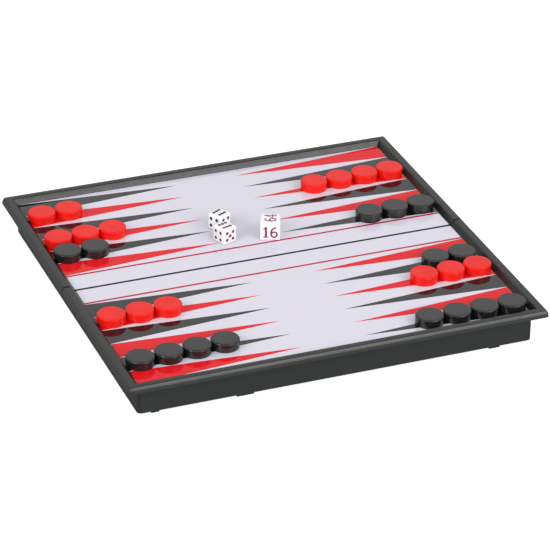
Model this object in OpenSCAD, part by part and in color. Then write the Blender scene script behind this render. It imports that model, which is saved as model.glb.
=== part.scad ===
// Folding magnetic backgammon set, millimetres.
// The origin is on the table, under the middle of the fold. +X runs along the fold, to the right,
// +Y runs from the player to the far half, and +Z is up. Both halves are the same moulding,
// turned half a turn about +Z, and they fold down, underside to underside, into a box.

/* [Board] */
// Width of the open board across its rims
board_w = 250; // [236:1:270]
// Depth of one half, from the fold to its outer rim
half_d = 119; // [115:1:130]
// Height of the playing surface above the table
surface_h = 19; // [17:0.5:24]
// Height of the rim above the playing surface
rim_rise = 3.2; // [2:0.1:4]
// Gap left between the two halves at the fold
fold_gap = 0.2; // [0.1:0.05:0.5]
// Gap left between the ends of the two rims at the fold
rim_gap = 0.6; // [0.2:0.05:0.8]

/* [Shell] */
// Wall thickness of the moulded shells
wall = 2.2; // [1.6:0.1:3]
// Thickness of the shell's deck, under the steel plate
deck_t = 2; // [1.5:0.1:3]
// How far the side walls stand back from the rim
side_setback = 7.3; // [6.5:0.1:8]
// How far the end wall stands back from the rim
end_setback = 6.4; // [6:0.1:7]
// Height of the locating nubs under the end wall, which are also the feet
foot_h = 1.5; // [1.5:0.1:2]

/* [Rim] */
// Width of each side rail
side_rail_w = 7.9; // [7.5:0.1:9]
// Width of the end rail
end_rail_w = 7.2; // [6.8:0.1:7.3]

/* [Playing surface] */
// Thickness of the steel plate that the magnets hold to
plate_t = 0.4; // [0.3:0.1:0.6]
// Thickness of the printed sheet bonded to the plate
sheet_t = 0.2; // [0.1:0.05:0.3]
// How far the sheet stops short of the fold, which leaves a groove along it
fold_setback = 0.9; // [0.4:0.05:1]
// How far the sheet overhangs the plate's edge at that groove
sheet_overhang = 0.6; // [0:0.1:1]
// Depth to which that groove is cut into the shells, below the plate
groove_depth = 2.4; // [1:0.2:3]
// Distance from the fold to the middle of the first point
first_point = 25.5; // [24:0.5:27]
// Distance between neighbouring points
point_pitch = 15.6; // [15.2:0.1:16]

/* [Hinge] */
// Outer radius of the hinge knuckles
knuckle_r = 1.5; // [1.4:0.05:1.5]
// Length of each knuckle
knuckle_l = 10; // [8:1:12]
// Radius of the steel hinge pins
pin_r = 0.7; // [0.5:0.05:0.8]
// Radial clearance of the pins in their knuckles
pin_clearance = 0.05; // [0.02:0.01:0.1]

/* [Checkers] */
// Diameter of a checker
checker_d = 16.3; // [15.5:0.1:16.4]
// Thickness of a checker
checker_t = 5.5; // [4.5:0.1:6]
// Diameter of the magnet in each checker
magnet_d = 8; // [6:0.5:10]
// Thickness of the magnet in each checker
magnet_t = 1.6; // [1:0.1:2]

/* [Dice] */
// Edge of each of the two dice
die_a = 10; // [8:0.5:12]
// Edge of the doubling cube
cube_a = 12; // [10:0.5:13]

/* [Hidden] */
eps = 0.01;
rim_h = surface_h + rim_rise;
sheet_z = surface_h - sheet_t;
plate_z = sheet_z - plate_t;
hinge_z = foot_h;
wall_z = hinge_z + fold_gap / 2;
inner_x = board_w / 2 - side_rail_w;
inner_y = half_d - end_rail_w;
wall_x = board_w / 2 - side_setback;
wall_y = half_d - end_setback;

// The shell's flange carries the rim and stays hidden under it
flange_overlap = 3.8;
flange_x = wall_x + flange_overlap;
flange_y = wall_y + flange_overlap - 1;
lip_z = plate_z - 0.2;
lip_gap = 0.1;
plate_lap = 1.4;
plate_gap = 0.1;
wall_corner_r = 2.5;
rim_corner_r = 1.6;
rib_t = 1.6;

// Low ribs that stiffen the deck from below, across each storage bay
deck_ribs = 3;
deck_rib_t = 1.2;
deck_rib_h = 1.2;

// Locating nubs, as [middle, width]: each one meets the pocket of the other half when folded
nubs = [[-107.3, 4.6], [-55, 10], [95.2, 6.5]];
nub_t = 1.1;
nub_clearance = 0.2;

knuckle_start = 60;
knuckle_pairs = 2;
knuckle_end_gap = 0.2;
knuckle_side_gap = 0.25;
pin_end_gap = 0.4;

// Rows of checkers as [side of X, side of Y, point, count, gap to the rail, shift, drift],
// where point 1 is next to the fold, shift moves the whole row away from the fold,
// and drift moves each further checker on a little more
red_rows = [
    [-1, 1, 5, 2, 0.15, 1, 0.4],
    [-1, 1, 3, 3, 0.15, 0.1, 0.2],
    [-1, -1, 2, 3, 0.3, -0.2, -0.1],
    [1, 1, 4, 4, 0.15, 1.5, -0.5],
    [1, -1, 3, 3, 0.3, -0.6, 0.2]
];
dark_rows = [
    [-1, 1, 2, 2, 0.15, -2.4, 0],
    [-1, -1, 5, 4, 0.35, 2.5, -0.8],
    [1, 1, 1, 3, 0.15, 0.7, -0.3],
    [1, -1, 2, 2, 2.6, -1.4, -0.1],
    [1, -1, 6, 4, 0.4, -0.4, -0.2]
];
checker_gap = 0.45;
checker_bevel = 0.5;
magnet_clearance = 0.05;

// Dice and cube as [x, y, turn about Z]
red_pip_at = [-15.8, 27.5, 19];
black_pip_at = [-13.2, 43.8, 30];
cube_at = [11.3, 23.7, -21.6];
die_round = 1;
cube_round = 0.8;

shell_colour = [0.20, 0.21, 0.20];
rim_colour = [0.24, 0.25, 0.24];
steel_colour = [0.66, 0.67, 0.69];
sheet_colour = [0.87, 0.86, 0.92];
red_colour = [0.86, 0.10, 0.08];
dark_colour = [0.15, 0.16, 0.16];
magnet_colour = [0.12, 0.11, 0.11];
ivory_colour = [0.93, 0.92, 0.93];

// Every checker of a set of rows, as [x, y, z]
function row_places(rows) = [
    for (row = rows)
        for (slot = [0 : row[3] - 1]) [
            row[0] * (inner_x - checker_d / 2 - row[4] - slot * (checker_d + checker_gap)),
            row[1] * (first_point + (row[2] - 1) * point_pitch + row[5] + slot * row[6]),
            surface_h
        ]
];
red_places = row_places(red_rows);
dark_places = row_places(dark_rows);

function two_digits(n) = str(n < 10 ? "0" : "", n);
red_names = [for (i = [0 : len(red_places) - 1]) str("red_checker_", two_digits(i + 1))];
dark_names = [for (i = [0 : len(dark_places) - 1]) str("dark_checker_", two_digits(i + 1))];

// A slab of the front half, from fold_y out to y = -d, with its two outer corners rounded
module half_slab(half_w, d, z, t, r, fold_y = -fold_gap / 2) {
    translate([-half_w, -d + r, z]) cube([2 * half_w, d - r + fold_y, t]);
    translate([-half_w + r, -d, z]) cube([2 * (half_w - r), 2 * r, t]);
    for (side = [-1, 1])
        translate([side * (half_w - r), -d + r, z]) cylinder(r = r, h = t, $fn = 48);
}

// The front half's own barrels on the hinge line; the other half's are these, half a turn round
module knuckles(r, grow) {
    own = [
        for (i = [0 : knuckle_pairs - 1]) knuckle_start + 2 * i * knuckle_l,
        for (i = [0 : knuckle_pairs - 1]) -knuckle_start - (2 * i + 2) * knuckle_l
    ];
    for (x = own)
        translate([x - grow, 0, hinge_z])
            rotate([0, 90, 0]) cylinder(r = r, h = knuckle_l + 2 * grow, $fn = 48);
}

// The pin's line through all the knuckles on one side
module pin_line(side, r, end_gap) {
    span = 2 * knuckle_pairs * knuckle_l;
    start = side > 0 ? knuckle_start : -knuckle_start - span;
    translate([start + end_gap, 0, hinge_z])
        rotate([0, 90, 0]) cylinder(r = r, h = span - 2 * end_gap, $fn = 48);
}

// Under the end wall, on the inner half of its thickness
module nub(at, grow, z, h) {
    translate([at[0] - at[1] / 2 - grow, -wall_y + wall - nub_t - grow, z])
        cube([at[1] + 2 * grow, nub_t + grow, h]);
}

// One storage bay, open at the bottom, with low ribs left standing under the deck
module bay(side) {
    deck_z = plate_z - deck_t;
    low_x = rib_t / 2;
    length_x = wall_x - wall - low_x;
    low_y = -wall_y + wall;
    length_y = wall_y - fold_gap / 2 - 2 * wall;
    difference() {
        translate([side > 0 ? low_x : -low_x - length_x, low_y, -eps])
            cube([length_x, length_y, deck_z + eps]);
        for (i = [1 : deck_ribs])
            translate([
                side * (low_x + i * length_x / (deck_ribs + 1)) - deck_rib_t / 2,
                low_y, deck_z - deck_rib_h
            ])
                cube([deck_rib_t, length_y, deck_rib_h + eps]);
    }
}

// The half's share of the groove that runs along the fold, between the side rails
module fold_groove() {
    translate([-inner_x - plate_lap, -fold_setback, plate_z - groove_depth])
        cube([2 * (inner_x + plate_lap), 2 * fold_setback, groove_depth + eps]);
}

module half_shell() {
    difference() {
        union() {
            half_slab(wall_x, wall_y, wall_z, plate_z - wall_z, wall_corner_r);
            half_slab(flange_x, flange_y, plate_z - deck_t, deck_t, wall_corner_r);
            knuckles(knuckle_r, -knuckle_end_gap / 2);
            for (at = nubs) nub(at, 0, 0, wall_z + eps);
        }
        for (side = [-1, 1]) {
            bay(side);
            pin_line(side, pin_r + pin_clearance, -eps);
        }
        rotate([0, 0, 180]) knuckles(knuckle_r + knuckle_side_gap, knuckle_end_gap / 2);
        fold_groove();
        for (at = nubs) mirror([1, 0, 0]) nub(at, nub_clearance, wall_z - eps, foot_h + nub_clearance);
    }
}

// The plate and the sheet are cut alike but for the fold; their outer edges are held under the rim
module surface_layer(z, t, setback) {
    half_slab(inner_x + plate_lap, inner_y + plate_lap, z, t, plate_lap / 2, -setback);
}

module half_plate() { surface_layer(plate_z, plate_t, fold_setback + sheet_overhang); }
module half_sheet() { surface_layer(sheet_z, sheet_t, fold_setback); }

// Cross-section of a rail w wide whose outer face is at u = 0, with u inwards and v up
module rail_profile(w, flange_u) {
    plate_u = w - plate_lap - plate_gap;
    polygon([
        [0.15, lip_z], [0, lip_z + 0.2], [0, rim_h - 2.2], [0.015 * w, rim_h - 1.4],
        [0.05 * w, rim_h - 0.7], [0.09 * w, rim_h - 0.3], [0.15 * w, rim_h - 0.06],
        [0.26 * w, rim_h], [0.48 * w, rim_h], [0.64 * w, rim_h - 0.08],
        [0.73 * w, rim_h - 0.25], [0.78 * w, rim_h - 0.6], [w, surface_h],
        [plate_u, surface_h], [plate_u, plate_z], [flange_u, plate_z], [flange_u, lip_z]
    ]);
}

// Everything on the outer side of the line from the rim's corner to the print's corner
module mitre(side) {
    reach = 4;
    corner = [side * board_w / 2, -half_d];
    step = [-side * side_rail_w, end_rail_w];
    linear_extrude(rim_h + 1)
        polygon([
            corner - step, corner + reach * step,
            [side * (board_w / 2 - reach * side_rail_w), 1], [side * (board_w / 2 + side_rail_w), 1]
        ]);
}

module side_rail(side) {
    flange_u = board_w / 2 - flange_x - lip_gap;
    intersection() {
        translate([side * board_w / 2, -rim_gap / 2, 0])
            rotate([90, 0, 0])
                linear_extrude(half_d - rim_gap / 2)
                    mirror([side > 0 ? 1 : 0, 0, 0]) rail_profile(side_rail_w, flange_u);
        mitre(side);
    }
}

module end_rail() {
    flange_u = half_d - flange_y - lip_gap;
    difference() {
        translate([-board_w / 2, -half_d, 0])
            rotate([90, 0, 90])
                linear_extrude(board_w) rail_profile(end_rail_w, flange_u);
        for (side = [-1, 1]) mitre(side);
    }
}

module half_rim() {
    intersection() {
        union() {
            end_rail();
            for (side = [-1, 1]) side_rail(side);
        }
        half_slab(board_w / 2, half_d, 0, rim_h + 1, rim_corner_r);
    }
}

module rear() { rotate([0, 0, 180]) children(); }

module rear_shell() { color(shell_colour) rear() half_shell(); }
module rear_steel_plate() { color(steel_colour) rear() half_plate(); }
module rear_printed_sheet() { color(sheet_colour) rear() half_sheet(); }
module rear_rim() { color(rim_colour) rear() half_rim(); }
module front_shell() { color(shell_colour) half_shell(); }
module front_steel_plate() { color(steel_colour) half_plate(); }
module front_printed_sheet() { color(sheet_colour) half_sheet(); }
module front_rim() { color(rim_colour) half_rim(); }
module left_hinge_pin() { color(steel_colour) pin_line(-1, pin_r, pin_end_gap); }
module right_hinge_pin() { color(steel_colour) pin_line(1, pin_r, pin_end_gap); }

// A bevelled disc with a pocket in its underside, and the disc magnet in that pocket
module checker(colour) {
    r = checker_d / 2;
    foot_bevel = checker_bevel / 2;
    color(colour) difference() {
        rotate_extrude($fn = 96)
            polygon([
                [0, 0], [r - foot_bevel, 0], [r, foot_bevel], [r, checker_t - checker_bevel],
                [r - checker_bevel, checker_t], [0, checker_t]
            ]);
        translate([0, 0, -eps])
            cylinder(d = magnet_d + 2 * magnet_clearance, h = magnet_t + magnet_clearance + eps, $fn = 64);
    }
    color(magnet_colour) cylinder(d = magnet_d, h = magnet_t, $fn = 64);
}

// A cube with its edges rounded, standing on z = 0
module rounded_cube(a, r) {
    intersection_for (turn = [[0, 0, 0], [90, 0, 0], [0, 90, 0]])
        translate([0, 0, a / 2]) rotate(turn)
            linear_extrude(a, center = true) {
                square([a, a - 2 * r], center = true);
                square([a - 2 * r, a], center = true);
                for (x = [-1, 1], y = [-1, 1])
                    translate([x, y] * (a / 2 - r)) circle(r, $fn = 32);
            }
}

module placed(at) { translate([at[0], at[1], surface_h]) rotate(at[2]) children(); }

module red_pip_die() { color(ivory_colour) placed(red_pip_at) rounded_cube(die_a, die_round); }
module black_pip_die() { color(ivory_colour) placed(black_pip_at) rounded_cube(die_a, die_round); }
module doubling_cube() { color(ivory_colour) placed(cube_at) rounded_cube(cube_a, cube_round); }

rear_shell();
rear_steel_plate();
rear_printed_sheet();
rear_rim();
front_shell();
front_steel_plate();
front_printed_sheet();
front_rim();
left_hinge_pin();
right_hinge_pin();
for (i = [0 : len(red_names) - 1])
    translate(red_places[i]) checker(red_colour);
for (i = [0 : len(dark_names) - 1])
    translate(dark_places[i]) checker(dark_colour);
red_pip_die();
black_pip_die();
doubling_cube();
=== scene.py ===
import math

import bmesh
import bpy
from mathutils import Matrix, Vector


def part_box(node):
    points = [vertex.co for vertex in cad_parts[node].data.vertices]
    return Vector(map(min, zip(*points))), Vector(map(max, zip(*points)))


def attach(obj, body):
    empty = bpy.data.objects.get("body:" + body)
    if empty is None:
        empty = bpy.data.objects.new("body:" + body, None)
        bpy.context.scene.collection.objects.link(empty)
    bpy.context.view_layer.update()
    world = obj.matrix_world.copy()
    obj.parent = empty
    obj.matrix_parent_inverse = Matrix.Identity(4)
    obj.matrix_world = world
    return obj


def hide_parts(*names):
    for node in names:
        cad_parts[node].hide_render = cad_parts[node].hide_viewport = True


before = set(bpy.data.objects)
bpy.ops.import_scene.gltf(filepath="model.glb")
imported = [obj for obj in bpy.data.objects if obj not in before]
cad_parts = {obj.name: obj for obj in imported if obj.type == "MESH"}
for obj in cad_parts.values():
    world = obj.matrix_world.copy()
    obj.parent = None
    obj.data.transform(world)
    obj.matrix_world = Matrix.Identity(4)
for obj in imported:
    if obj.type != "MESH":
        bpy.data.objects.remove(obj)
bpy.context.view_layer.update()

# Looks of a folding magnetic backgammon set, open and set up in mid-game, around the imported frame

MM = 0.001

# Sizes that the frame's boxes don't give, in millimetres. RAIL is the width that rim_profile is drawn at.
SIDE_RAIL = 7.9
END_RAIL = 7.2
RAIL = 7.5
RIM_CORNER = 1.6
FIRST_POINT = 25.5
POINT_PITCH = 15.6
POINTS_PER_SIDE = 6
POINT_HALF_W = 7.68
POINT_TIP_X = 18.8
LINE_Y = 16.7
LINE_W = 1.7
# Width of the dark-ink strip between the points' bases and the rails' foot: painted shade where the sheet
# meets the rim
PAINTED_FOOT_SHADE_W = 0.5
MAGNET_D = 8.0
MAGNET_T = 1.6
MAGNET_GAP = 0.05

RED_DIE_TURN = math.radians(19)
BLACK_DIE_TURN = math.radians(30)
CUBE_TURN = math.radians(-21.6)

# The backdrop's strength at some angles above the horizon, in degrees, and its factor towards the front
BACKDROP = [
    (-90, 0.26), (-24, 0.26), (-12, 0.62), (4, 0.6),
    (16, 0.5), (22, 0.95), (40, 0.95), (90, 0.1),
]
FRONT_FACTOR = 2.4
FRONT_FULL_AT = -0.8
BOX_SIZE = 0.8
BOX_POWER = 8.0
FLOOR_REACH = 6000
FLOOR_GLOW = 0.74


# ---------------------------------------------------------------- mesh tools

def new_object(name, bm, materials, sharp=35):
    """A mesh object from a bmesh, in millimetres, smooth but for edges over `sharp` degrees."""
    bmesh.ops.scale(bm, vec=Vector((MM, MM, MM)), verts=bm.verts)
    bmesh.ops.recalc_face_normals(bm, faces=bm.faces)
    mesh = bpy.data.meshes.new(name)
    bm.to_mesh(mesh)
    bm.free()
    for polygon in mesh.polygons:
        polygon.use_smooth = True
    mesh.set_sharp_from_angle(angle=math.radians(sharp))
    for material in materials:
        mesh.materials.append(material)
    obj = bpy.data.objects.new(name, mesh)
    bpy.context.scene.collection.objects.link(obj)
    return obj


def rounded_outline(corners, steps=4, closed=True):
    """Points along an outline of (u, v, radius) corners, each turned into an arc of its radius."""
    points = []
    most_of_side = 0.49
    count = len(corners)
    for i, (u, v, radius) in enumerate(corners):
        is_end = not closed and i in (0, count - 1)
        if radius <= 0 or is_end:
            points.append((u, v))
            continue
        here = Vector((u, v))
        back = Vector(corners[i - 1][:2]) - here
        ahead = Vector(corners[(i + 1) % count][:2]) - here
        half = back.angle(ahead) / 2
        reach = min(radius / math.tan(half), most_of_side * back.length, most_of_side * ahead.length)
        back.normalize()
        ahead.normalize()
        start, end = here + back * reach, here + ahead * reach
        centre = here + (back + ahead).normalized() * (reach / math.cos(half))
        sweep = (start - centre).angle_signed(end - centre)
        for k in range(steps + 1):
            spoke = start - centre
            spoke.rotate(Matrix.Rotation(-sweep * k / steps, 2))
            points.append(tuple(centre + spoke))
    return points


def lathe(outline, centre, segments=96):
    """A solid turned about the vertical through centre, by an outline that starts and ends on that axis."""
    bm = bmesh.new()
    rings = []
    for radius, height in outline:
        if radius < 1e-6:
            rings.append([bm.verts.new((centre[0], centre[1], centre[2] + height))])
            continue
        rings.append([
            bm.verts.new((
                centre[0] + radius * math.cos(2 * math.pi * k / segments),
                centre[1] + radius * math.sin(2 * math.pi * k / segments),
                centre[2] + height,
            ))
            for k in range(segments)
        ])
    for low, high in zip(rings, rings[1:]):
        for k in range(segments):
            n = (k + 1) % segments
            ring = [low[k % len(low)], low[n % len(low)], high[n % len(high)], high[k % len(high)]]
            bm.faces.new(list(dict.fromkeys(ring)))
    return bm


def centre_and_size(node):
    """Middle of a node's base, its width and its height, in millimetres."""
    low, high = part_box(node)
    middle = (low + high) / 2 / MM
    size = (high - low) / MM
    return Vector((middle.x, middle.y, low.z / MM)), size.x, size.z


def settle(obj, body):
    """Fixes a piece to a body."""
    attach(obj, body)
    return obj


def finish_node(node_name, material):
    """Gives a CAD node that stays in view its material."""
    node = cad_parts[node_name]
    node.data.materials.clear()
    node.data.materials.append(material)
    return node


# ---------------------------------------------------------------- materials

class Shader:
    """A node material built up from calls; every number is in metres or plain shares."""

    def __init__(self, name):
        self.material = bpy.data.materials.new(name)
        self.material.use_nodes = True
        self.tree = self.material.node_tree
        self.principled = self.tree.nodes["Principled BSDF"]
        self.place = self.add("ShaderNodeTexCoord").outputs["Object"]

    def add(self, kind, inputs=None, **settings):
        node = self.tree.nodes.new(kind)
        for key, value in settings.items():
            setattr(node, key, value)
        for key, value in (inputs or {}).items():
            self.feed(node.inputs[key], value)
        return node

    def feed(self, socket, value):
        if isinstance(value, bpy.types.NodeSocket):
            self.tree.links.new(value, socket)
        else:
            socket.default_value = value

    def set(self, **inputs):
        for key, value in inputs.items():
            self.feed(self.principled.inputs[key.replace("_", " ")], value)

    def noise(self, feature, detail=3.0, roughness=0.55, place=None):
        """Noise whose blobs are about `feature` metres across."""
        return self.add("ShaderNodeTexNoise", {
            "Vector": place or self.place, "Scale": 1 / feature, "Detail": detail, "Roughness": roughness,
        }).outputs["Fac"]

    def span(self, value, low, high, start=0.3, end=0.7):
        """value, from start to end, spread over low to high."""
        return self.add("ShaderNodeMapRange", {
            "Value": value, "From Min": start, "From Max": end, "To Min": low, "To Max": high,
        }).outputs["Result"]

    def blend(self, share, first, second):
        node = self.add("ShaderNodeMix", data_type="RGBA")
        self.feed(node.inputs["Factor"], share)
        self.feed(node.inputs["A"], first)
        self.feed(node.inputs["B"], second)
        return node.outputs["Result"]

    def bump(self, height, strength, distance, normal=None):
        inputs = {"Height": height, "Strength": strength, "Distance": distance}
        if normal:
            inputs["Normal"] = normal
        return self.add("ShaderNodeBump", inputs).outputs["Normal"]


def shade(colour, factor):
    """A colour made lighter or darker, with its alpha."""
    return tuple(channel * factor for channel in colour[:3]) + (1.0,)


def moulded_plastic(name, colour, roughness=(0.3, 0.4), grain=0.00025, relief=0.00001, mottling=0.1,
                    specular=0.5):
    """Moulded plastic: flow mottling in its colour and sheen, and the fine skin that the mould leaves."""
    s = Shader(name)
    cloud = s.noise(0.012, detail=4)
    s.set(
        Base_Color=s.blend(s.span(cloud, 0, 1), shade(colour, 1 - mottling), shade(colour, 1 + mottling)),
        Roughness=s.span(s.noise(0.004, detail=5), *roughness),
        Normal=s.bump(s.noise(grain, detail=2), 0.5, relief),
        Specular_IOR_Level=specular,
    )
    return s.material


def glossy_print(name, colour, specular=0.5):
    """Ink under a clear gloss film: faint unevenness in the ink, and a film that is nearly a mirror."""
    s = Shader(name)
    ink = s.noise(0.0006, detail=2)
    film = s.noise(0.02, detail=1)
    s.set(
        Base_Color=s.blend(s.span(ink, 0, 1), shade(colour, 0.96), shade(colour, 1.03)),
        Roughness=s.span(s.noise(0.006, detail=3), 0.035, 0.07),
        Normal=s.bump(film, 0.2, 0.00002),
        Specular_IOR_Level=specular,
    )
    return s.material


def brushed_metal(name, colour, roughness=(0.22, 0.38)):
    """Bare metal with fine lines along X, 25 times as long as they are wide."""
    s = Shader(name)
    stretched = s.add("ShaderNodeMapping", {"Vector": s.place, "Scale": (0.04, 1, 1)}).outputs["Vector"]
    lines = s.noise(0.0003, detail=3, place=stretched)
    s.set(
        Base_Color=s.blend(s.span(lines, 0, 1), shade(colour, 0.9), shade(colour, 1.05)),
        Metallic=1.0,
        Roughness=s.span(lines, *roughness),
        Normal=s.bump(lines, 0.3, 0.000004),
    )
    return s.material


def ferrite(name):
    """Pressed and fired ferrite: dull, dark and speckled."""
    s = Shader(name)
    speck = s.noise(0.0005, detail=6, roughness=0.7)
    s.set(
        Base_Color=s.blend(s.span(speck, 0, 1), (0.018, 0.017, 0.017, 1), (0.06, 0.055, 0.052, 1)),
        Roughness=s.span(speck, 0.45, 0.7),
        Normal=s.bump(speck, 0.6, 0.00003),
    )
    return s.material


POLISHED = (0.12, 0.2)
PAINTED = (0.3, 0.45)
FINE_RELIEF = 0.000006
SHELL = moulded_plastic("shell_plastic", (0.011, 0.014, 0.012), roughness=(0.40, 0.50), specular=0.3)
RIM = moulded_plastic("rim_plastic", (0.011, 0.013, 0.011), roughness=(0.24, 0.32), specular=0.4)
RED = moulded_plastic("red_plastic", (0.72, 0.010, 0.006), roughness=POLISHED, grain=0.0012,
                      relief=FINE_RELIEF, specular=0.2)
DARK = moulded_plastic("dark_plastic", (0.009, 0.010, 0.009), roughness=POLISHED, grain=0.0012,
                       relief=FINE_RELIEF, specular=0.48)
IVORY = moulded_plastic("ivory_plastic", (0.79, 0.78, 0.81), roughness=POLISHED, grain=0.0015,
                        relief=FINE_RELIEF, mottling=0.02)
RED_PAINT = moulded_plastic("red_paint", (0.19, 0.008, 0.026), roughness=PAINTED)
BLACK_PAINT = moulded_plastic("black_paint", (0.012, 0.012, 0.018), roughness=PAINTED)
WHITE_PRINT = glossy_print("white_print", (0.615, 0.595, 0.68))
RED_PRINT = glossy_print("red_print", (0.67, 0.006, 0.012), specular=0.15)
DARK_PRINT = glossy_print("dark_print", (0.006, 0.005, 0.006))
LINE_PRINT = glossy_print("line_print", (0.42, 0.006, 0.03), specular=0.2)
STEEL = brushed_metal("tinned_steel", (0.62, 0.62, 0.64))
MAGNET = ferrite("ferrite")


# ---------------------------------------------------------------- the two halves

INKS = [WHITE_PRINT, RED_PRINT, LINE_PRINT, DARK_PRINT]
WHITE_INK, RED_INK, LINE_INK, DARK_INK = range(4)


def turned(obj, half):
    """The rear half is the front one, half a turn round the vertical."""
    if half == "rear":
        obj.data.transform(Matrix.Rotation(math.pi, 4, "Z"))
    return obj


def shell(half):
    """The CAD shell, with its moulded edges rounded."""
    node = finish_node(half + "_shell", SHELL)
    weld = node.modifiers.new("weld", "WELD")
    weld.merge_threshold = 1e-6
    bevel = node.modifiers.new("moulded edges", "BEVEL")
    bevel.width = 0.25 * MM
    bevel.segments = 2
    bevel.limit_method = "ANGLE"
    bevel.angle_limit = math.radians(40)


def rim_profile(low, top):
    """A rail's cross-section, as points of (distance in from the outer face, height)."""
    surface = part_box("front_printed_sheet")[1].z / MM
    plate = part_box("front_steel_plate")[0].z / MM
    outer_face = [(0.15, low, 0.1), (0, low + 0.25, 0.2), (0.3, top - 1.75, 0.5)]
    rounded_edge = [(1.15, top - 0.13, 0.2), (1.9, top, 0.6)]
    crown = [(3.6, top, 0.8), (5.0, top - 0.04, 0.15)]
    slope = [(5.5, top - 0.3, 0.2), (7.45, surface + 0.1, 0.06), (RAIL, surface, 0)]
    underside = [(5.95, surface, 0), (5.95, plate, 0), (3.25, plate, 0), (3.25, low, 0)]
    return rounded_outline(outer_face + rounded_edge + crown + slope + underside)


def rail_path(x, y, radius, end_y):
    """A line at x and y round the three rails, from one end at end_y to the other, as (x, y) points."""
    steps = 8
    support = 1.5  # loops this far from the corners and ends keep the shading of the long faces even
    quarter = [math.pi / 2 * k / steps for k in range(steps + 1)]
    path = [(x, end_y), (x, end_y - support), (x, radius - y + support)]
    path += [(x - radius + radius * math.cos(a), radius - y - radius * math.sin(a)) for a in quarter]
    path.append((x - radius - support, -y))
    return path + [(-px, py) for px, py in path[::-1]]


def rim(half):
    """Three mitred rails round a half, with a rounded outer edge and a slope down to the print."""
    low, high = (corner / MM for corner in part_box("front_rim"))
    radius_loss, least_radius = 0.6, 0.15
    # Each rail stops short of the fold, and its end face is a little smaller than the rail
    end_gap, end_bevel, end_share, mid_u = 0.3, 0.15, 0.07, 4.2
    mid_v = (high.z + low.z) / 2
    fold_y = high.y - end_gap
    bm = bmesh.new()
    loops = []
    for u, v in rim_profile(low.z, high.z):
        x = high.x - u * SIDE_RAIL / RAIL
        y = -low.y - u * END_RAIL / RAIL
        radius = max(RIM_CORNER - radius_loss * u, least_radius)
        end_x = x - (mid_u - u) * end_share
        end_v = v + (mid_v - v) * end_share
        loop = [(px, py, v) for px, py in rail_path(x, y, radius, fold_y - end_bevel)]
        loop = [(end_x, fold_y, end_v)] + loop + [(-end_x, fold_y, end_v)]
        loops.append([bm.verts.new(point) for point in loop])
    for here, ahead in zip(loops, loops[1:] + loops[:1]):
        for k in range(len(here) - 1):
            bm.faces.new((here[k], here[k + 1], ahead[k + 1], ahead[k]))
    for end in (0, -1):
        bm.faces.new([loop[end] for loop in loops])
    obj = turned(new_object(half + "_rim_moulding", bm, [RIM], sharp=22), half)
    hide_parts(half + "_rim")
    return settle(obj, half + "_half")


def print_mesh(low, high):
    """The sheet's top face, with a face for each printed point, line and piece of ground."""
    rim_low, rim_high = (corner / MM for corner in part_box("front_rim"))
    inner_x = rim_high.x - SIDE_RAIL
    base_x = inner_x - PAINTED_FOOT_SHADE_W
    base_y = -rim_low.y - END_RAIL - PAINTED_FOOT_SHADE_W
    base_half_w = POINT_HALF_W * (base_x - POINT_TIP_X) / (inner_x - POINT_TIP_X)
    centres = [FIRST_POINT + i * POINT_PITCH for i in range(POINTS_PER_SIDE)]
    levels = [-high.y, LINE_Y - LINE_W / 2, LINE_Y + LINE_W / 2]
    bases = levels + [c + side * base_half_w for c in centres for side in (-1, 1)]
    least_strip = 0.05
    bases.append(max(base_y, bases[-1] + least_strip))
    tips = levels + centres + [bases[-1]]
    bm = bmesh.new()

    def column(x, ys):
        return [bm.verts.new((x, -y, high.z)) for y in ys]

    def patch(corners, ink):
        bm.faces.new(list(dict.fromkeys(corners))).material_index = ink

    inner = {side: column(side * POINT_TIP_X, tips) for side in (-1, 1)}
    outer = {side: column(side * base_x, bases) for side in (-1, 1)}
    for row in range(len(tips) - 1):
        ink = LINE_INK if row == 1 else WHITE_INK
        patch((inner[-1][row], inner[1][row], inner[1][row + 1], inner[-1][row + 1]), ink)
    for side, first_ink in ((-1, DARK_INK), (1, RED_INK)):
        edge, mid = outer[side], inner[side]
        patch((edge[0], mid[0], mid[1], edge[1]), WHITE_INK)
        patch((edge[1], mid[1], mid[2], edge[2]), LINE_INK)
        patch((edge[2], mid[2], mid[3], edge[3]), WHITE_INK)
        for i in range(POINTS_PER_SIDE):
            start = len(levels) + 2 * i
            tip = len(levels) + i
            ink = first_ink if i % 2 == 0 else RED_INK + DARK_INK - first_ink
            patch((edge[start], mid[tip], edge[start + 1]), ink)
            patch((edge[start + 1], mid[tip], mid[tip + 1], edge[start + 2]), WHITE_INK)
    # From the points' bases outwards the face takes the dark ink: a strip of painted shade along the rails'
    # foot, and the part under the rails
    corners = {side: column(side * high.x, (-high.y, -low.y)) for side in (-1, 1)}
    for side in (-1, 1):
        patch(outer[side] + corners[side][::-1], DARK_INK)
    end_strip = [corners[-1][1], corners[1][1], outer[1][-1], inner[1][-1], inner[-1][-1], outer[-1][-1]]
    patch(end_strip, DARK_INK)
    return bm


def printed_sheet(half):
    """A thin sheet whose top face is divided along the print: points, line, ground, and a dark strip of
    painted shade along the rails' foot.
    """
    low, high = (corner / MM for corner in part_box("front_printed_sheet"))
    obj = new_object(half + "_playing_sheet", print_mesh(low, high), INKS)
    if obj.data.polygons[0].normal.z < 0:
        obj.data.flip_normals()
    for polygon in obj.data.polygons:
        polygon.use_smooth = False
    solid = obj.modifiers.new("sheet", "SOLIDIFY")
    solid.thickness = high.z * MM - low.z * MM
    solid.offset = -1
    # The sheet's cut edges take the dark ink: painted shade in the seam at the fold
    solid.material_offset_rim = DARK_INK
    turned(obj, half)
    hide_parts(half + "_printed_sheet")
    return settle(obj, half + "_half")


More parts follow.
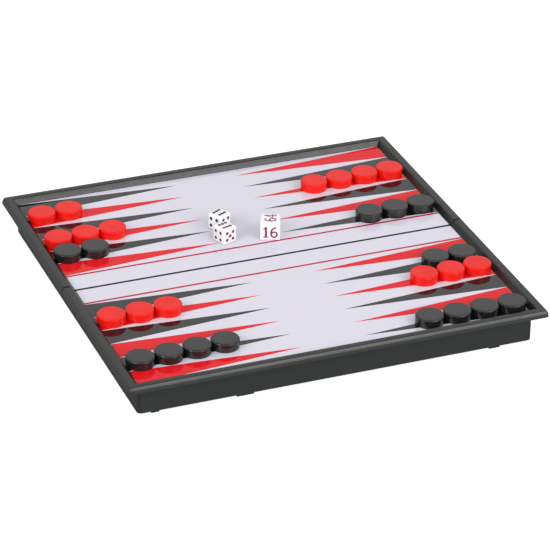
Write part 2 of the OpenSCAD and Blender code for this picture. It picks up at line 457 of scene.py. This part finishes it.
def hinge_pin(node_name):
    """A drawn pin with rounded ends, lying along X."""
    low, high = (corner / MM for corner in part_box(node_name))
    radius, length = (high.z - low.z) / 2, high.x - low.x
    rounding = 0.25
    outline = rounded_outline([
        (0, 0, 0), (radius, 0, rounding), (radius, length, rounding), (0, length, 0),
    ], closed=False)
    bm = lathe(outline, (0, 0, 0), segments=32)
    bmesh.ops.rotate(bm, verts=bm.verts, cent=(0, 0, 0), matrix=Matrix.Rotation(math.pi / 2, 3, "Y"))
    bmesh.ops.translate(bm, verts=bm.verts, vec=(low.x, 0, (low.z + high.z) / 2))
    obj = new_object(node_name + "_wire", bm, [STEEL])
    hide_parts(node_name)
    return settle(obj, "rear_half")


# ---------------------------------------------------------------- checkers

def checker(node_name, material):
    """A turned disc with a soft bevel round its top, and a ferrite magnet in a pocket underneath."""
    base, width, height = centre_and_size(node_name)
    r = width / 2
    pocket_r = MAGNET_D / 2 + MAGNET_GAP
    pocket_top = MAGNET_T + MAGNET_GAP
    foot_bevel = 0.25
    outline = rounded_outline([
        (0, pocket_top, 0), (pocket_r, pocket_top, 0.1), (pocket_r, 0, 0.1),
        (r - foot_bevel, 0, 0.1), (r, foot_bevel, 0.2), (r, height - 0.62, 0.25),
        (r - 0.55, height - 0.04, 0.3), (r - 1.0, height, 0.3), (0, height, 0),
    ], closed=False)
    disc = new_object(node_name + "_disc", lathe(outline, base), [material], sharp=40)
    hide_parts(node_name)
    settle(disc, node_name)
    lift, edge = 0.02, 0.15
    magnet_outline = rounded_outline([
        (0, lift, 0), (MAGNET_D / 2, lift, edge), (MAGNET_D / 2, MAGNET_T, edge), (0, MAGNET_T, 0),
    ], steps=3, closed=False)
    magnet = new_object(node_name + "_magnet", lathe(magnet_outline, base, segments=48), [MAGNET])
    settle(magnet, node_name)


# ---------------------------------------------------------------- dice and doubling cube

# Each face as (pips or number, outward direction, the face's own right, the face's own up)
RIGHT, LEFT = Vector((1, 0, 0)), Vector((-1, 0, 0))
BACK, FRONT = Vector((0, 1, 0)), Vector((0, -1, 0))
UP, DOWN = Vector((0, 0, 1)), Vector((0, 0, -1))
DIE_FACES = [
    (6, UP, RIGHT, BACK), (1, DOWN, RIGHT, BACK), (5, FRONT, RIGHT, UP),
    (2, BACK, LEFT, UP), (4, LEFT, FRONT, UP), (3, RIGHT, BACK, UP),
]
CUBE_FACES = [
    ("64", UP, BACK, LEFT), ("2", DOWN, RIGHT, FRONT), ("16", FRONT, RIGHT, UP),
    ("8", BACK, LEFT, UP), ("4", LEFT, FRONT, UP), ("32", RIGHT, BACK, UP),
]


def rounded_cube(edge, radius, steps=5):
    """A cube about the origin with its edges and corners rounded, as a bmesh."""
    bm = bmesh.new()
    bmesh.ops.create_cube(bm, size=edge)
    bmesh.ops.bevel(bm, geom=bm.edges[:] + bm.verts[:], offset=radius, segments=steps, profile=0.5,
                    affect="EDGES")
    return bm


def stand(obj, base, edge, turn):
    """Turns a mesh made about the origin and stands it on its place."""
    place = Matrix.Translation(Vector((base.x, base.y, base.z + edge / 2)) * MM)
    obj.data.transform(place @ Matrix.Rotation(turn, 4, "Z"))


def pips_of(number):
    """Pip places on a face, in units of the pip spacing."""
    places = [(0, 0)] if number % 2 else []
    if number >= 2:
        places += [(-1, -1), (1, 1)]
    if number >= 4:
        places += [(-1, 1), (1, -1)]
    if number == 6:
        places += [(0, 1), (0, -1)]
    return places


def apply_modifiers(obj):
    """Bakes an object's modifiers into its mesh and drops the cutters it used."""
    bpy.context.view_layer.update()
    evaluated = obj.evaluated_get(bpy.context.evaluated_depsgraph_get())
    mesh = bpy.data.meshes.new_from_object(evaluated)
    cutters = [m.object for m in obj.modifiers if m.type == "BOOLEAN"]
    obj.modifiers.clear()
    obj.data = mesh
    for cutter in cutters:
        bpy.data.objects.remove(cutter)


def dish(radius, depth, steps=7):
    """Outline of a dished cutter: a shallow bowl below its rim and a low, slightly wider cap above it."""
    overhang = 1.02
    ball = (radius ** 2 + depth ** 2) / (2 * depth)
    reach = math.asin(radius / ball)
    bowl = [
        (ball * math.sin(reach * k / steps), ball - depth - ball * math.cos(reach * k / steps))
        for k in range(steps + 1)
    ]
    return bowl + [(radius * overhang, depth), (0, depth)]


def add_to(bm, part):
    """Moves a bmesh's geometry into another bmesh."""
    mesh = bpy.data.meshes.new("part")
    part.to_mesh(mesh)
    part.free()
    bm.from_mesh(mesh)
    bpy.data.meshes.remove(mesh)


def die(node_name, turn, paint):
    """A rounded cube with dished, painted pips; opposite faces add up to seven."""
    base, _, edge = centre_and_size(node_name)
    spacing, pip_r, pip_depth, rounding = 0.22 * edge, 0.107 * edge, 0.035 * edge, 0.11 * edge
    obj = new_object(node_name + "_body", rounded_cube(edge, rounding), [IVORY, paint])
    cuts = bmesh.new()
    for number, out, right, up in DIE_FACES:
        facing = Matrix((right, up, out)).transposed().to_4x4()
        for a, b in pips_of(number):
            at = out * (edge / 2) + (right * a + up * b) * spacing
            pip = lathe(dish(pip_r, pip_depth), (0, 0, 0), segments=32)
            bmesh.ops.transform(pip, matrix=Matrix.Translation(at) @ facing, verts=pip.verts)
            add_to(cuts, pip)
    cutter = new_object(node_name + "_pips", cuts, [IVORY, paint])
    for polygon in cutter.data.polygons:
        polygon.material_index = 1
    boolean = obj.modifiers.new("pips", "BOOLEAN")
    boolean.object = cutter
    boolean.operation = "DIFFERENCE"
    boolean.solver = "MANIFOLD"
    apply_modifiers(obj)
    obj.data.set_sharp_from_angle(angle=math.radians(30))
    stand(obj, base, edge, turn)
    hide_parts(node_name)
    return settle(obj, node_name)


# Strokes of each digit in a box DIGIT_W wide and 1 high: bars as (x, y, width, height),
# arcs as (centre x, centre y, radius x, radius y, start, end, width) and slants as (x0, y0, x1, y1, width)
DIGIT_W = 0.6
GLYPHS = {
    "1": {"bars": [(0.2, 0, 0.18, 1), (0.08, 0, 0.42, 0.09)], "slants": [(0.07, 0.76, 0.26, 0.93, 0.09)]},
    "2": {"bars": [(0.04, 0, 0.52, 0.11), (0.48, 0, 0.08, 0.22)],
          "slants": [(0.1, 0.08, 0.46, 0.56, 0.13)],
          "arcs": [(0.29, 0.72, 0.2, 0.21, -25, 185, 0.13)]},
    "3": {"arcs": [(0.28, 0.74, 0.18, 0.19, -90, 170, 0.12), (0.28, 0.29, 0.21, 0.23, -170, 90, 0.13)]},
    "4": {"bars": [(0.34, 0, 0.14, 1), (0.0, 0.25, 0.6, 0.1), (0.24, 0, 0.34, 0.08)],
          "slants": [(0.03, 0.3, 0.4, 0.95, 0.09)]},
    "6": {"arcs": [(0.31, 0.3, 0.24, 0.24, 0, 360, 0.14), (0.42, 0.42, 0.37, 0.5, 80, 188, 0.14)]},
    "8": {"arcs": [(0.3, 0.74, 0.16, 0.19, 0, 360, 0.12), (0.3, 0.28, 0.21, 0.23, 0, 360, 0.13)]},
}


def prism(bm, outline, depth):
    """A closed plate from z = -depth to 0."""
    low = [bm.verts.new((x, y, -depth)) for x, y in outline]
    high = [bm.verts.new((x, y, 0)) for x, y in outline]
    bm.faces.new(low[::-1])
    bm.faces.new(high)
    for k in range(len(outline)):
        n = (k + 1) % len(outline)
        bm.faces.new((low[k], low[n], high[n], high[k]))


def ring(bm, cx, cy, rx, ry, start, end, width, depth, steps=28):
    """A plate bent along an arc of an ellipse."""
    angles = [math.radians(start + (end - start) * k / steps) for k in range(steps + 1)]
    full = end - start >= 360
    rims = []
    for grow in (width / 2, -width / 2):
        for z in (0, -depth):
            rims.append([
                bm.verts.new((cx + (rx + grow) * math.cos(a), cy + (ry + grow) * math.sin(a), z))
                for a in (angles[:-1] if full else angles)
            ])
    outer_top, outer_low, inner_top, inner_low = rims
    count = len(outer_top)
    for k in range(count if full else count - 1):
        n = (k + 1) % count
        bm.faces.new((outer_top[k], outer_top[n], inner_top[n], inner_top[k]))
        bm.faces.new((inner_low[k], inner_low[n], outer_low[n], outer_low[k]))
        bm.faces.new((outer_low[k], outer_low[n], outer_top[n], outer_top[k]))
        bm.faces.new((inner_top[k], inner_top[n], inner_low[n], inner_low[k]))
    if not full:
        for k in (0, -1):
            bm.faces.new((outer_top[k], inner_top[k], inner_low[k], outer_low[k]))


def strokes_of(char, depth):
    """One closed plate for each stroke of a digit."""
    plates = []
    strokes = GLYPHS[char]
    for x, y, w, h in strokes.get("bars", ()):
        plates.append(bmesh.new())
        prism(plates[-1], [(x, y), (x + w, y), (x + w, y + h), (x, y + h)], depth)
    for x0, y0, x1, y1, w in strokes.get("slants", ()):
        along = Vector((x1 - x0, y1 - y0)).normalized()
        side = Vector((-along.y, along.x)) * w / 2
        plates.append(bmesh.new())
        prism(plates[-1], [(x0 + side.x, y0 + side.y), (x0 - side.x, y0 - side.y),
                           (x1 - side.x, y1 - side.y), (x1 + side.x, y1 + side.y)], depth)
    for cx, cy, rx, ry, start, end, w in strokes.get("arcs", ()):
        plates.append(bmesh.new())
        ring(plates[-1], cx, cy, rx, ry, start, end, w, depth)
    return plates


def fuse(objects):
    """Joins closed, overlapping meshes into the first of them."""
    first = objects[0]
    for other in objects[1:]:
        boolean = first.modifiers.new("join", "BOOLEAN")
        boolean.object = other
        boolean.operation = "UNION"
        boolean.solver = "MANIFOLD"
    apply_modifiers(first)
    return first


def doubling_cube(node_name):
    """A rounded cube with the numbers 2 to 64 on its faces, where they stand a little proud."""
    base, _, edge = centre_and_size(node_name)
    height, proud, depth, advance = 0.59 * edge, 0.02, 0.08, 0.66
    side_drop, rounding = 0.05 * edge, 0.075 * edge
    obj = new_object(node_name + "_body", rounded_cube(edge - 2 * proud, rounding), [IVORY])
    stand(obj, base, edge, CUBE_TURN)
    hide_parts(node_name)
    settle(obj, node_name)
    plates = []
    for text, out, right, up in CUBE_FACES:
        wide = advance * (len(text) - 1) + DIGIT_W
        low = height / 2 + (0 if out.z else side_drop)
        for i, char in enumerate(text):
            for plate in strokes_of(char, depth / height):
                for v in plate.verts:
                    x = (v.co.x + i * advance - wide / 2) * height
                    y = v.co.y * height - low
                    v.co = right * x + up * y + out * (edge / 2 + v.co.z * height)
                plates.append(new_object(f"{node_name}_stroke_{len(plates)}", plate, [RED_PAINT]))
    numbers = fuse(plates)
    numbers.name = node_name + "_numbers"
    numbers.data.set_sharp_from_angle(angle=math.radians(30))
    stand(numbers, base, edge, CUBE_TURN)
    return settle(numbers, node_name)


# ---------------------------------------------------------------- stage

def photo_camera():
    """A long lens from the front left, a little under 30 degrees above the board."""
    azimuth, elevation, roll = math.radians(21.58), math.radians(28.933), math.radians(0.817)
    target = Vector((8.43, 7.57, 1.5)) * MM
    distance, lens, sensor = 1.74214, 194.02, 36.0
    look = Vector((
        math.sin(azimuth) * math.cos(elevation),
        math.cos(azimuth) * math.cos(elevation),
        -math.sin(elevation),
    ))
    level = Vector((math.cos(azimuth), -math.sin(azimuth), 0))
    upright = level.cross(look)
    right = level * math.cos(roll) + upright * math.sin(roll)
    up = upright * math.cos(roll) - level * math.sin(roll)
    data = bpy.data.cameras.new("camera")
    data.lens, data.sensor_width = lens, sensor
    data.clip_start, data.clip_end = 0.05, 50
    camera = bpy.data.objects.new("camera", data)
    facing = Matrix((right, up, -look)).transposed().to_4x4()
    camera.matrix_world = Matrix.Translation(target - look * distance) @ facing
    bpy.context.scene.collection.objects.link(camera)
    bpy.context.scene.camera = camera


def soft_box(name, place):
    """A square studio light aimed at the middle of the board."""
    data = bpy.data.lights.new(name, "AREA")
    data.shape, data.size, data.energy = "SQUARE", BOX_SIZE, BOX_POWER
    light = bpy.data.objects.new(name, data)
    light.location = place
    light.rotation_euler = (-Vector(place)).to_track_quat("-Z", "Y").to_euler()
    bpy.context.scene.collection.objects.link(light)


def paper_floor():
    """A pale floor that glows a little, so that it stays even, and that the gloss doesn't mirror."""
    bm = bmesh.new()
    bmesh.ops.create_grid(bm, x_segments=1, y_segments=1, size=FLOOR_REACH)
    paper = Shader("floor_paper")
    tone = paper.noise(0.3, detail=2)
    paper.set(
        Base_Color=paper.blend(paper.span(tone, 0, 1), (0.50, 0.50, 0.50, 1), (0.52, 0.52, 0.52, 1)),
        Roughness=0.9,
        Specular_IOR_Level=0.0,
        Emission_Color=(1, 1, 1, 1),
        Emission_Strength=FLOOR_GLOW,
    )
    floor = new_object("floor", bm, [paper.material])
    floor.visible_glossy = False


def backdrop():
    """A grey surround whose strength follows the height of a ray, and grows towards the front."""
    world = bpy.data.worlds.new("studio")
    world.use_nodes = True
    tree = world.node_tree
    ray = tree.nodes.new("ShaderNodeTexCoord").outputs["Generated"]
    split = tree.nodes.new("ShaderNodeSeparateXYZ")
    height = tree.nodes.new("ShaderNodeMapRange")
    height.inputs["From Min"].default_value = -1
    fade = tree.nodes.new("ShaderNodeValToRGB")
    stops = fade.color_ramp.elements
    for degrees, _ in BACKDROP[1:-1]:
        stops.new((1 + math.sin(math.radians(degrees))) / 2)
    for stop, (_, strength) in zip(stops, BACKDROP):
        stop.color = (strength, strength, strength, 1)
    front = tree.nodes.new("ShaderNodeMapRange")
    front.inputs["From Min"].default_value = 0
    front.inputs["From Max"].default_value = FRONT_FULL_AT
    front.inputs["To Min"].default_value = 1
    front.inputs["To Max"].default_value = FRONT_FACTOR
    product = tree.nodes.new("ShaderNodeMath")
    product.operation = "MULTIPLY"
    background = tree.nodes["Background"]
    background.inputs["Color"].default_value = (1, 1, 1, 1)
    tree.links.new(ray, split.inputs["Vector"])
    tree.links.new(split.outputs["Z"], height.inputs["Value"])
    tree.links.new(height.outputs["Result"], fade.inputs["Fac"])
    tree.links.new(split.outputs["Y"], front.inputs["Value"])
    tree.links.new(fade.outputs["Color"], product.inputs[0])
    tree.links.new(front.outputs["Result"], product.inputs[1])
    tree.links.new(product.outputs["Value"], background.inputs["Strength"])
    bpy.context.scene.world = world


def studio():
    """A pale floor, a soft grey surround and a soft box on each side."""
    paper_floor()
    backdrop()
    soft_box("right_box", (0.55, -1.25, 0.8))
    soft_box("left_box", (-1.25, -0.58, 0.9))
    bpy.context.scene.view_settings.view_transform = "Standard"


for half in ("rear", "front"):
    shell(half)
    finish_node(half + "_steel_plate", STEEL)
    printed_sheet(half)
    rim(half)
for side in ("left", "right"):
    hinge_pin(side + "_hinge_pin")
for i in range(1, 16):
    checker(f"red_checker_{i:02d}", RED)
    checker(f"dark_checker_{i:02d}", DARK)
die("red_pip_die", RED_DIE_TURN, RED_PAINT)
die("black_pip_die", BLACK_DIE_TURN, BLACK_PAINT)
doubling_cube("doubling_cube")
photo_camera()
studio()
